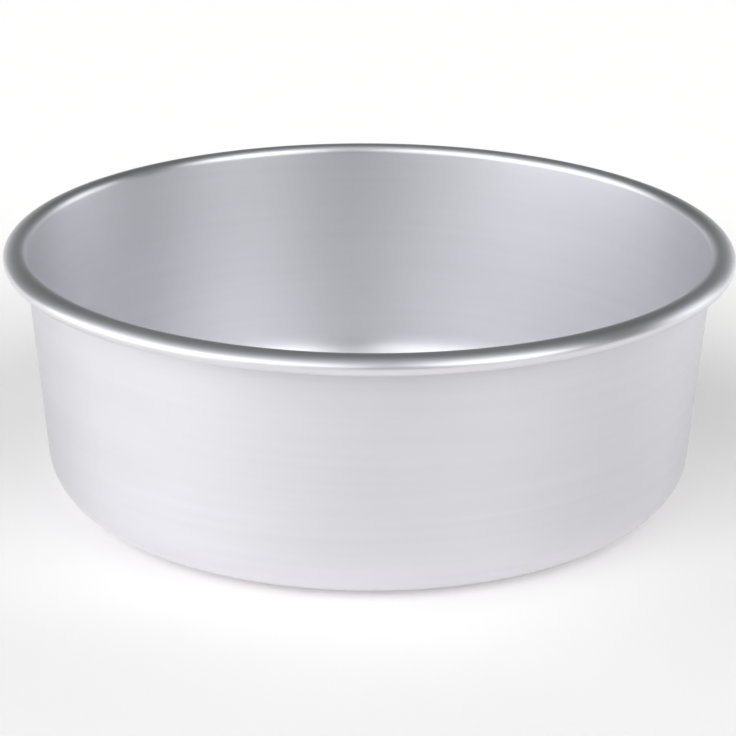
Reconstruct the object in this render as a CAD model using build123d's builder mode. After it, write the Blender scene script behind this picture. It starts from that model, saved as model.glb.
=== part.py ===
from build123d import *
import math
import os

# Round cake tin, drawn in one piece from an aluminium disc, in millimetres
# +Z is up and the origin is the centre of the underside

# Tin body: sizes that a baker or a press shop would quote
mouth_radius = 101.6
inside_depth = 76.2
sheet = 1.0
wall_taper = 5.0
corner_radius = 15.0

# Rim: the wall flares out, rolls over a shallow crown and curls in under it
flare_radius = 2.9
crown_radius = 5.2
crown_turn = 50.0
curl_turn = 235.0

# Rim wire: a round ring, its ends welded, that the curl is closed over
wire_diameter = 1.8
wire_clearance = 0.2

# Every bend is drawn at the middle of the sheet, so its thickness never changes
half_sheet = sheet / 2
rim_top = sheet + inside_depth
taper = math.radians(wall_taper)
wall_bend = 90 - wall_taper
corner_bend_radius = corner_radius - half_sheet
flare_bend_radius = flare_radius - half_sheet
crown_bend_radius = crown_radius - half_sheet
curl_bend_radius = wire_diameter / 2 + wire_clearance + half_sheet

# The straight wall ends where the flare begins, one flare radius short of the rim's ridge
ridge_radius = mouth_radius + flare_radius * math.cos(taper)
wall_end_radius = ridge_radius - flare_bend_radius * math.cos(taper)
wall_end_height = rim_top - flare_radius + flare_bend_radius * math.sin(taper)

# The flat floor ends where the corner bend, tangent to floor and wall, begins
corner_height = half_sheet + corner_bend_radius
wall_radius_at_corner = wall_end_radius - (wall_end_height - corner_height) * math.tan(taper)
floor_flat_radius = wall_radius_at_corner - corner_bend_radius / math.cos(taper)

# The wire lies on the axis of the curl, inside the end of the crown
crown_end = math.radians(crown_turn)
wire_offset = crown_bend_radius - curl_bend_radius
wire_ring_radius = ridge_radius + wire_offset * math.sin(crown_end)
wire_height = rim_top - crown_radius + wire_offset * math.cos(crown_end)

# Tin body: one line from the centre of the floor to the cut edge inside the curl
with BuildPart() as tin_body:
    with BuildSketch(Plane.XZ) as body_section:
        with BuildLine() as sheet_line:
            floor = Line((0, half_sheet), (floor_flat_radius, half_sheet))
            corner = JernArc(floor @ 1, floor % 1, corner_bend_radius, wall_bend)
            wall = Line(corner @ 1, (wall_end_radius, wall_end_height))
            flare = JernArc(wall @ 1, wall % 1, flare_bend_radius, -wall_bend)
            crown = JernArc(flare @ 1, flare % 1, crown_bend_radius, -crown_turn)
            curl = JernArc(crown @ 1, crown % 1, curl_bend_radius, -curl_turn)
        trace(line_width=sheet)
    revolve(axis=Axis.Z)

# Rim wire: one closed ring, lying loose by the clearance inside the curl
with BuildPart() as rim_wire:
    with BuildSketch(Plane.XZ) as wire_section:
        with Locations((wire_ring_radius, wire_height)):
            Circle(wire_diameter / 2)
    revolve(axis=Axis.Z)

tin_body.part.label = "tin_body"
rim_wire.part.label = "rim_wire"

os.makedirs("parts", exist_ok=True)
export_step(tin_body.part, "parts/tin_body.step")
export_step(rim_wire.part, "parts/rim_wire.step")
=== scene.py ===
import math

import bpy
import numpy as np
from mathutils import Matrix, Vector


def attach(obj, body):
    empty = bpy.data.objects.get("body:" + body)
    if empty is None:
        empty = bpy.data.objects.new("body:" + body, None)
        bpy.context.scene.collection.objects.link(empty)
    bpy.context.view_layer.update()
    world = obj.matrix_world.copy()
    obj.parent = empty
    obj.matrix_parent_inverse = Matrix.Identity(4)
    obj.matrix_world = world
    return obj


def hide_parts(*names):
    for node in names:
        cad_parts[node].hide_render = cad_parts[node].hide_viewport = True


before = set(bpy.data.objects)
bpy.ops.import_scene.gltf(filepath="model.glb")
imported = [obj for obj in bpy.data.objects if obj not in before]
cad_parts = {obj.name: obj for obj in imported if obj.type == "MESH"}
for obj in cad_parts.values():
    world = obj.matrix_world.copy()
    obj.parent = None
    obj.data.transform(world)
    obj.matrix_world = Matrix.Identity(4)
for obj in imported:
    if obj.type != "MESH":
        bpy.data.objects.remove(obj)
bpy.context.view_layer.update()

# Tin body: one disc of aluminium drawn into a tapered tin, flared at the mouth, rolled outwards
# and under into a bead, and anodised to a satin grey. Floor, wall and bead are one sheet.
mouth_radius = 0.1016
inside_depth = 0.0762
sheet = 0.0010
wall_taper = math.radians(5.0)
corner_radius = 0.0150
flare_radius = 0.0029
crown_radius = 0.0052
crown_turn = math.radians(50.0)
curl_radius = 0.0021
curl_turn = math.radians(235.0)
rim_top = sheet + inside_depth
quarter_turn = math.pi / 2

# Points along each stretch of one face of the sheet, and steps round the tin.
floor_points = 13
corner_points = 25
wall_points = 17
flare_points = 13
crown_points = 9
curl_points = 33
steps_round = 384


def bend_points(centre, radius, start, turn, count):
    """Round bend: centre + radius * (cos, sin) of an angle that goes evenly from start by turn."""
    angle = np.linspace(start, start + turn, count)
    return np.column_stack([centre[0] + radius * np.cos(angle), centre[1] + radius * np.sin(angle)])


def sheet_face(depth):
    """One face of the sheet, as (radius, height) from the floor's centre to the cut edge.

    Every bend keeps its centre. The face lies depth below the upper face, so bends that turn
    up gain that depth in radius, and bends that turn down lose it.
    """
    ridge = mouth_radius + flare_radius * math.cos(wall_taper)
    flare_centre = (ridge, rim_top - flare_radius)
    crown_centre = (ridge, rim_top - crown_radius)
    reach = crown_radius - curl_radius
    curl_centre = (ridge + reach * math.sin(crown_turn), crown_centre[1] + reach * math.cos(crown_turn))
    wall_foot = mouth_radius + sheet / math.cos(wall_taper) - math.tan(wall_taper) * (
        flare_centre[1] + flare_radius * math.sin(wall_taper) - corner_radius)
    corner_centre = (wall_foot - corner_radius / math.cos(wall_taper), corner_radius)
    corner = bend_points(corner_centre, corner_radius - sheet + depth,
                         -quarter_turn, quarter_turn - wall_taper, corner_points)
    flare = bend_points(flare_centre, flare_radius - depth,
                        math.pi - wall_taper, wall_taper - quarter_turn, flare_points)
    crown = bend_points(crown_centre, crown_radius - depth,
                        quarter_turn, -crown_turn, crown_points)
    curl = bend_points(curl_centre, curl_radius - depth,
                       quarter_turn - crown_turn, -curl_turn, curl_points)
    floor = np.linspace((0, corner[0, 1]), corner[0], floor_points)
    wall = np.linspace(corner[-1], flare[0], wall_points)
    return np.concatenate([floor[:-1], corner[:-1], wall[:-1], flare[:-1], crown[:-1], curl])


def turned_mesh(name, section, steps):
    """Surface of revolution: section point (r, h) at angle a stands at (r cos a, r sin a, h).

    The section starts and ends on the axis, where one point closes the surface. The UV map
    "turned" holds the share of a turn and the distance along the section in metres.
    """
    angle = np.arange(steps) * (2 * math.pi / steps)
    radius, height = section[1:-1, 0], section[1:-1, 1]
    rows = len(radius)
    ring = np.empty((rows, steps, 3))
    ring[..., 0] = radius[:, None] * np.cos(angle)
    ring[..., 1] = radius[:, None] * np.sin(angle)
    ring[..., 2] = height[:, None]
    ends = np.array([(0, 0, section[0, 1]), (0, 0, section[-1, 1])])
    points = np.concatenate([ring.reshape(-1, 3), ends])

    row, column = np.meshgrid(np.arange(rows - 1), np.arange(steps), indexing="ij")
    after = (column + 1) % steps
    quads = np.stack([row * steps + column, row * steps + after,
                      (row + 1) * steps + after, (row + 1) * steps + column], -1).reshape(-1, 4)
    step = np.arange(steps)
    next_step = (step + 1) % steps
    last = (rows - 1) * steps
    first_fan = np.stack([next_step, step, np.full(steps, rows * steps)], -1)
    last_fan = np.stack([last + step, last + next_step, np.full(steps, rows * steps + 1)], -1)
    corners = np.concatenate([quads.ravel(), first_fan.ravel(), last_fan.ravel()])
    sizes = np.concatenate([np.full(len(quads), 4), np.full(2 * steps, 3)])

    mesh = bpy.data.meshes.new(name)
    mesh.vertices.add(len(points))
    mesh.vertices.foreach_set("co", points.ravel())
    mesh.loops.add(len(corners))
    mesh.loops.foreach_set("vertex_index", corners)
    mesh.polygons.add(len(sizes))
    mesh.polygons.foreach_set("loop_start", np.concatenate([[0], np.cumsum(sizes)[:-1]]))
    mesh.polygons.foreach_set("use_smooth", np.ones(len(sizes), bool))
    mesh.update(calc_edges=True)

    along = np.concatenate([[0], np.cumsum(np.hypot(*np.diff(section, axis=0).T))])
    quad_u = np.stack([column, column + 1, column + 1, column], -1) / steps
    quad_v = np.stack([along[1:-1][row], along[1:-1][row], along[2:][row], along[2:][row]], -1)
    first_u = np.stack([step + 1, step, step + 0.5], -1) / steps
    first_v = np.tile([along[1], along[1], along[0]], (steps, 1))
    last_u = np.stack([step, step + 1, step + 0.5], -1) / steps
    last_v = np.tile([along[-2], along[-2], along[-1]], (steps, 1))
    uv = np.column_stack([np.concatenate([quad_u.ravel(), first_u.ravel(), last_u.ravel()]),
                          np.concatenate([quad_v.ravel(), first_v.ravel(), last_v.ravel()])])
    mesh.uv_layers.new(name="turned").uv.foreach_set("vector", uv.ravel())
    mesh.validate()
    piece = bpy.data.objects.new(name, mesh)
    bpy.context.scene.collection.objects.link(piece)
    return piece


upper_face = sheet_face(0.0)
section = np.concatenate([upper_face, sheet_face(sheet)[::-1]])
tin = turned_mesh("tin_skin", section, steps_round)

# The sheet's cut edge has two square corners, so the two rings of edges there are sharp.
cut_row = len(upper_face) - 2
edge_points = np.empty(2 * len(tin.data.edges), int)
tin.data.edges.foreach_get("vertices", edge_points)
edge_rows = edge_points.reshape(-1, 2) // steps_round
in_one_row = edge_rows[:, 0] == edge_rows[:, 1]
on_cut = (edge_rows[:, 0] == cut_row) | (edge_rows[:, 0] == cut_row + 1)
tin.data.attributes.new("sharp_edge", "BOOLEAN", "EDGE").data.foreach_set("value", in_one_row & on_cut)


def ramp(value, start, end):
    """Smooth step: t * t * (3 - 2 t), where t goes from 0 at start to 1 at end and is held there."""
    t = np.clip((value - start) / (end - start), 0.0, 1.0)
    return t * t * (3.0 - 2.0 * t)


# The rollers that curl the rim burnish it, and the nose of the punch smooths the inner corner,
# so both are smoother than the wall. The attribute "burnish" is 1 there and 0 on the wall. On
# the corner it is whole up to 0.6 of the corner's radius, and gone where the wall begins.
radius, height = section[1:-1, 0], section[1:-1, 1]
burnish_edge = 0.001
wall_end = rim_top - flare_radius
corner_burnish_end = 0.6 * corner_radius
on_bead = np.maximum(ramp(height, wall_end, wall_end + burnish_edge), radius > mouth_radius + flare_radius)
inner_face = np.arange(len(radius)) <= cut_row
off_floor = ramp(height, sheet, sheet + burnish_edge)
on_corner = inner_face * off_floor * ramp(height, corner_radius, corner_burnish_end)
burnish = np.concatenate([np.repeat(np.maximum(on_bead, on_corner), steps_round), (0.0, 0.0)])
tin.data.attributes.new("burnish", "FLOAT", "POINT").data.foreach_set("value", burnish)


def new_node(tree, kind, sockets):
    """Adds a shader node of that kind to the tree and sets the named sockets."""
    node = tree.nodes.new(kind)
    for socket, value in sockets.items():
        node.inputs[socket].default_value = value
    return node


def worked_out(tree, operation, *values):
    """Result of one step of arithmetic on values, each of them a number or a node's output."""
    step = new_node(tree, "ShaderNodeMath", {})
    step.operation = operation
    for socket, value in zip(step.inputs, values):
        if isinstance(value, float):
            socket.default_value = value
        else:
            tree.links.new(value, socket)
    return step.outputs["Value"]


def parts_of(tree, vector):
    """Outputs X, Y and Z of a vector."""
    parts = new_node(tree, "ShaderNodeSeparateXYZ", {})
    tree.links.new(vector, parts.inputs["Vector"])
    return parts.outputs


def two_tones(tree, factor, dark, light):
    """Colour dark + factor * (light - dark), for a factor between 0 and 1."""
    dark_socket, light_socket, result_socket = 6, 7, 2
    mix = tree.nodes.new("ShaderNodeMix")
    mix.data_type = "RGBA"
    mix.inputs[dark_socket].default_value = dark
    mix.inputs[light_socket].default_value = light
    tree.links.new(factor, mix.inputs["Factor"])
    return mix.outputs[result_socket]


aluminium = bpy.data.materials.new("satin_anodised_aluminium")
aluminium.use_nodes = True
tin_tree = aluminium.node_tree
metal = tin_tree.nodes["Principled BSDF"]
metal.inputs["Metallic"].default_value = 1.0
metal.inputs["Anisotropic"].default_value = 0.6
metal.inputs["Anisotropic Rotation"].default_value = 0.25

# The surface is rougher across the turning lines than along them, so highlights stretch up the wall.
around = new_node(tin_tree, "ShaderNodeTangent", {})
around.direction_type = "UV_MAP"
around.uv_map = "turned"
tin_tree.links.new(around.outputs["Tangent"], metal.inputs["Tangent"])

# Turning lines: noise on (x, y, distance along the section), drawn out long around the axis.
place = new_node(tin_tree, "ShaderNodeTexCoord", {})
place_parts = parts_of(tin_tree, place.outputs["Object"])
turned = new_node(tin_tree, "ShaderNodeUVMap", {})
turned.uv_map = "turned"
turned_parts = parts_of(tin_tree, turned.outputs["UV"])
line_place = new_node(tin_tree, "ShaderNodeCombineXYZ", {})
tin_tree.links.new(place_parts["X"], line_place.inputs["X"])
tin_tree.links.new(place_parts["Y"], line_place.inputs["Y"])
tin_tree.links.new(turned_parts["Y"], line_place.inputs["Z"])


def line_noise(scale_around, scale_across):
    """Noise whose cells are 1 / scale_around metres long and 1 / scale_across metres wide."""
    stretch = new_node(tin_tree, "ShaderNodeVectorMath", {1: (scale_around, scale_around, scale_across)})
    stretch.operation = "MULTIPLY"
    tin_tree.links.new(line_place.outputs["Vector"], stretch.inputs[0])
    noise = new_node(tin_tree, "ShaderNodeTexNoise", {"Scale": 1.0, "Detail": 2.0, "Roughness": 0.6})
    tin_tree.links.new(stretch.outputs["Vector"], noise.inputs["Vector"])
    return noise.outputs["Fac"]


fine_lines = line_noise(scale_around=18.0, scale_across=2600.0)
broad_lines = line_noise(scale_around=9.0, scale_across=320.0)

# The oxide layer is not quite even: soft clouds about 30 mm across, and the broad lines.
clouds = new_node(tin_tree, "ShaderNodeTexNoise", {"Scale": 34.0, "Detail": 2.0, "Roughness": 0.5})
tin_tree.links.new(place.outputs["Object"], clouds.inputs["Vector"])
dark_aluminium = (0.796, 0.785, 0.816, 1.0)
light_aluminium = (0.822, 0.811, 0.843, 1.0)
oxide = worked_out(tin_tree, "ADD", clouds.outputs["Fac"], broad_lines)
oxide_range = new_node(tin_tree, "ShaderNodeMapRange", {"From Min": 0.7, "From Max": 1.3})
tin_tree.links.new(oxide, oxide_range.inputs["Value"])
tone = two_tones(tin_tree, oxide_range.outputs["Result"], dark_aluminium, light_aluminium)
tin_tree.links.new(tone, metal.inputs["Base Color"])

wall_roughness = 0.55
burnished_roughness = 0.40
line_roughness = 0.015
burnished = new_node(tin_tree, "ShaderNodeAttribute", {})
burnished.attribute_name = "burnish"
smoothness = new_node(tin_tree, "ShaderNodeMapRange", {
    "To Min": wall_roughness, "To Max": burnished_roughness})
tin_tree.links.new(burnished.outputs["Fac"], smoothness.inputs["Value"])
uneven = new_node(tin_tree, "ShaderNodeMapRange", {
    "From Min": 0.3, "From Max": 0.7, "To Min": -line_roughness, "To Max": line_roughness})
tin_tree.links.new(fine_lines, uneven.inputs["Value"])
roughness = worked_out(tin_tree, "ADD", smoothness.outputs["Result"], uneven.outputs["Result"])
tin_tree.links.new(roughness, metal.inputs["Roughness"])

line_depth = 0.000004
relief = new_node(tin_tree, "ShaderNodeBump", {"Strength": 0.5, "Distance": line_depth})
tin_tree.links.new(fine_lines, relief.inputs["Height"])
tin_tree.links.new(relief.outputs["Normal"], metal.inputs["Normal"])

tin.data.materials.append(aluminium)
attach(tin, "root")
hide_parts("tin_body")

# Rim wire: a ring of galvanised steel wire, welded at its ends, that the sheet
# is rolled over. The roll hides it, and it stiffens the mouth.
galvanised = bpy.data.materials.new("galvanised_wire")
galvanised.use_nodes = True
wire_tree = galvanised.node_tree
zinc = wire_tree.nodes["Principled BSDF"]
zinc.inputs["Metallic"].default_value = 1.0
wire_place = new_node(wire_tree, "ShaderNodeTexCoord", {})

# Zinc sets in grains, here 0.7 mm across, each of its own grey and its own sheen.
grains_per_metre = 1400.0
dark_zinc = (0.50, 0.51, 0.53, 1.0)
light_zinc = (0.60, 0.61, 0.63, 1.0)
grains = new_node(wire_tree, "ShaderNodeTexVoronoi", {"Scale": grains_per_metre})
wire_tree.links.new(wire_place.outputs["Object"], grains.inputs["Vector"])
grain_parts = parts_of(wire_tree, grains.outputs["Color"])
zinc_tone = two_tones(wire_tree, grain_parts["X"], dark_zinc, light_zinc)
wire_tree.links.new(zinc_tone, zinc.inputs["Base Color"])
sheen = new_node(wire_tree, "ShaderNodeMapRange", {"To Min": 0.38, "To Max": 0.52})
wire_tree.links.new(grain_parts["Y"], sheen.inputs["Value"])
wire_tree.links.new(sheen.outputs["Result"], zinc.inputs["Roughness"])


def length_of(tree, vector):
    """Length of a vector."""
    measure = new_node(tree, "ShaderNodeVectorMath", {})
    measure.operation = "LENGTH"
    tree.links.new(vector, measure.inputs[0])
    return measure.outputs["Value"]


# The drawing die leaves faint scores along the wire: noise that changes only across it, on
# (distance from the tin's axis, 0, height).
scores_per_metre = 6000.0
score_depth = 0.00001
wire_parts = parts_of(wire_tree, wire_place.outputs["Object"])
from_axis = new_node(wire_tree, "ShaderNodeVectorMath", {1: (1.0, 1.0, 0.0)})
from_axis.operation = "MULTIPLY"
wire_tree.links.new(wire_place.outputs["Object"], from_axis.inputs[0])
ring_distance = length_of(wire_tree, from_axis.outputs["Vector"])
across_wire = new_node(wire_tree, "ShaderNodeCombineXYZ", {})
wire_tree.links.new(ring_distance, across_wire.inputs["X"])
wire_tree.links.new(wire_parts["Z"], across_wire.inputs["Z"])
scores = new_node(wire_tree, "ShaderNodeTexNoise", {"Scale": scores_per_metre, "Detail": 1.0})
wire_tree.links.new(across_wire.outputs["Vector"], scores.inputs["Vector"])
score_relief = new_node(wire_tree, "ShaderNodeBump", {"Strength": 0.4, "Distance": score_depth})
wire_tree.links.new(scores.outputs["Fac"], score_relief.inputs["Height"])
wire_tree.links.new(score_relief.outputs["Normal"], zinc.inputs["Normal"])
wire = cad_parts["rim_wire"]
wire.data.materials.clear()
wire.data.materials.append(galvanised)

# Studio floor: a wide sheet of matt white paper that the tin stands on, lit from above.
# It lies 0.1 mm low, so that it and the tin's underside are not two faces in one plane.
paper_half_width = 6.0
paper_level = -0.0001
paper_corners = [(-paper_half_width, -paper_half_width, paper_level),
                 (paper_half_width, -paper_half_width, paper_level),
                 (paper_half_width, paper_half_width, paper_level),
                 (-paper_half_width, paper_half_width, paper_level)]
paper_mesh = bpy.data.meshes.new("paper_floor")
paper_mesh.from_pydata(paper_corners, [], [(0, 1, 2, 3)])
paper_floor = bpy.data.objects.new("paper_floor", paper_mesh)
bpy.context.scene.collection.objects.link(paper_floor)
paper = bpy.data.materials.new("white_paper")
paper.use_nodes = True
paper_tree = paper.node_tree
paper_shader = paper_tree.nodes["Principled BSDF"]
paper_shader.inputs["Base Color"].default_value = (0.915, 0.893, 0.885, 1.0)
paper_shader.inputs["Roughness"].default_value = 0.9
paper_shader.inputs["Specular IOR Level"].default_value = 0.1

# To the camera, and to metal that mirrors it, the paper is a little brighter than the lamps make
# it: by near_glow up to 100 mm from the tin's axis, rising to far_glow at 350 mm and beyond.
near_glow = 0.18
far_glow = 0.36
glow_start = 0.10
glow_end = 0.35
paper_shader.inputs["Emission Color"].default_value = (1.0, 0.98, 0.972, 1.0)
paper_place = new_node(paper_tree, "ShaderNodeTexCoord", {})
distance = length_of(paper_tree, paper_place.outputs["Object"])
glow = new_node(paper_tree, "ShaderNodeMapRange", {
    "From Min": glow_start, "From Max": glow_end, "To Min": near_glow, "To Max": far_glow})
glow.interpolation_type = "SMOOTHSTEP"
paper_tree.links.new(distance, glow.inputs["Value"])
ray = new_node(paper_tree, "ShaderNodeLightPath", {})
seen_or_mirrored = worked_out(paper_tree, "ADD", ray.outputs["Is Camera Ray"], ray.outputs["Is Glossy Ray"])
sees_glow = worked_out(paper_tree, "ADD", seen_or_mirrored, ray.outputs["Is Transmission Ray"])
seen_glow = worked_out(paper_tree, "MULTIPLY", sees_glow, glow.outputs["Result"])
paper_tree.links.new(seen_glow, paper_shader.inputs["Emission Strength"])
paper_mesh.materials.append(paper)

# Studio light: five round soft boxes, far enough away to light the floor evenly, in a dim room
# where the far end of the paper sweeps up behind the tin.
cool_white = (0.97, 1.0, 1.01)
room_brightness = 0.09
sweep_brightness = 0.95
sweep_fall = -7.0
room = bpy.data.worlds.new("dim_room")
room.use_nodes = True
room_tree = room.node_tree
direction = new_node(room_tree, "ShaderNodeTexCoord", {})
direction_parts = parts_of(room_tree, direction.outputs["Generated"])

# The room's brightness is 0.09 + 0.95 * exp(-7 z) * (1 + y) / 2, where z is the sine of the height
# above the horizon, held at 0 below it, and y is 1 behind the tin and -1 on the camera's side.
above = worked_out(room_tree, "MAXIMUM", direction_parts["Z"], 0.0)
fall = worked_out(room_tree, "EXPONENT", worked_out(room_tree, "MULTIPLY", above, sweep_fall))
behind = new_node(room_tree, "ShaderNodeMapRange", {"From Min": -1.0, "From Max": 1.0})
room_tree.links.new(direction_parts["Y"], behind.inputs["Value"])
sweep = worked_out(room_tree, "MULTIPLY", fall, behind.outputs["Result"])
room_level = worked_out(room_tree, "MULTIPLY_ADD", sweep, sweep_brightness, room_brightness)
background = room_tree.nodes["Background"]
room_tree.links.new(room_level, background.inputs["Strength"])
background.inputs["Color"].default_value = (*cool_white, 1.0)
bpy.context.scene.world = room


def soft_box(name, azimuth, elevation, width, strength):
    """Far round lamp, width degrees across, that gives that irradiance to a face turned to it.

    It stands in the direction (sin a cos e, -cos a cos e, sin e), so azimuth 0 is the camera's side.
    """
    a, e = math.radians(azimuth), math.radians(elevation)
    lamp = bpy.data.lights.new(name, "SUN")
    lamp.angle = math.radians(width)
    lamp.energy = strength
    lamp.color = cool_white
    box = bpy.data.objects.new(name, lamp)
    towards = Vector((math.sin(a) * math.cos(e), -math.cos(a) * math.cos(e), math.sin(e)))
    box.rotation_euler = towards.to_track_quat("Z", "Y").to_euler()
    bpy.context.scene.collection.objects.link(box)


soft_box("left_soft_box", azimuth=-80, elevation=13, width=70, strength=1.70)
soft_box("right_soft_box", azimuth=46, elevation=40, width=46, strength=1.06)
soft_box("front_soft_box", azimuth=-31, elevation=38, width=48, strength=0.97)
soft_box("rear_soft_box", azimuth=118, elevation=17, width=32, strength=0.33)
soft_box("top_soft_box", azimuth=0, elevation=72, width=40, strength=0.12)

# Camera: on the side of -Y, looking down at the tin by 20 degrees, framed as the photograph is.
# Its distance, aim, roll and focal length fit the edges of the rim, the wall and the base there.
photo_size = 736
focal_length_px = 2854.1
camera_distance = 0.8676
camera_elevation = math.radians(19.858)
camera_roll = math.radians(0.308)
aim_point = Vector((-0.000226, 0.0, 0.035449))
camera_data = bpy.data.cameras.new("camera")
camera_data.sensor_width = 36.0
camera_data.lens = camera_data.sensor_width * focal_length_px / photo_size
camera = bpy.data.objects.new("camera", camera_data)
bpy.context.scene.collection.objects.link(camera)
back = Vector((0.0, -math.cos(camera_elevation), math.sin(camera_elevation)))
right = Vector((1.0, 0.0, 0.0))
up = back.cross(right)
rolled_right = right * math.cos(camera_roll) + up * math.sin(camera_roll)
rolled_up = back.cross(rolled_right)
turn = Matrix((rolled_right, rolled_up, back)).transposed()
camera.matrix_world = Matrix.Translation(aim_point + back * camera_distance) @ turn.to_4x4()
bpy.context.scene.camera = camera

bpy.context.scene.view_settings.view_transform = "Standard"
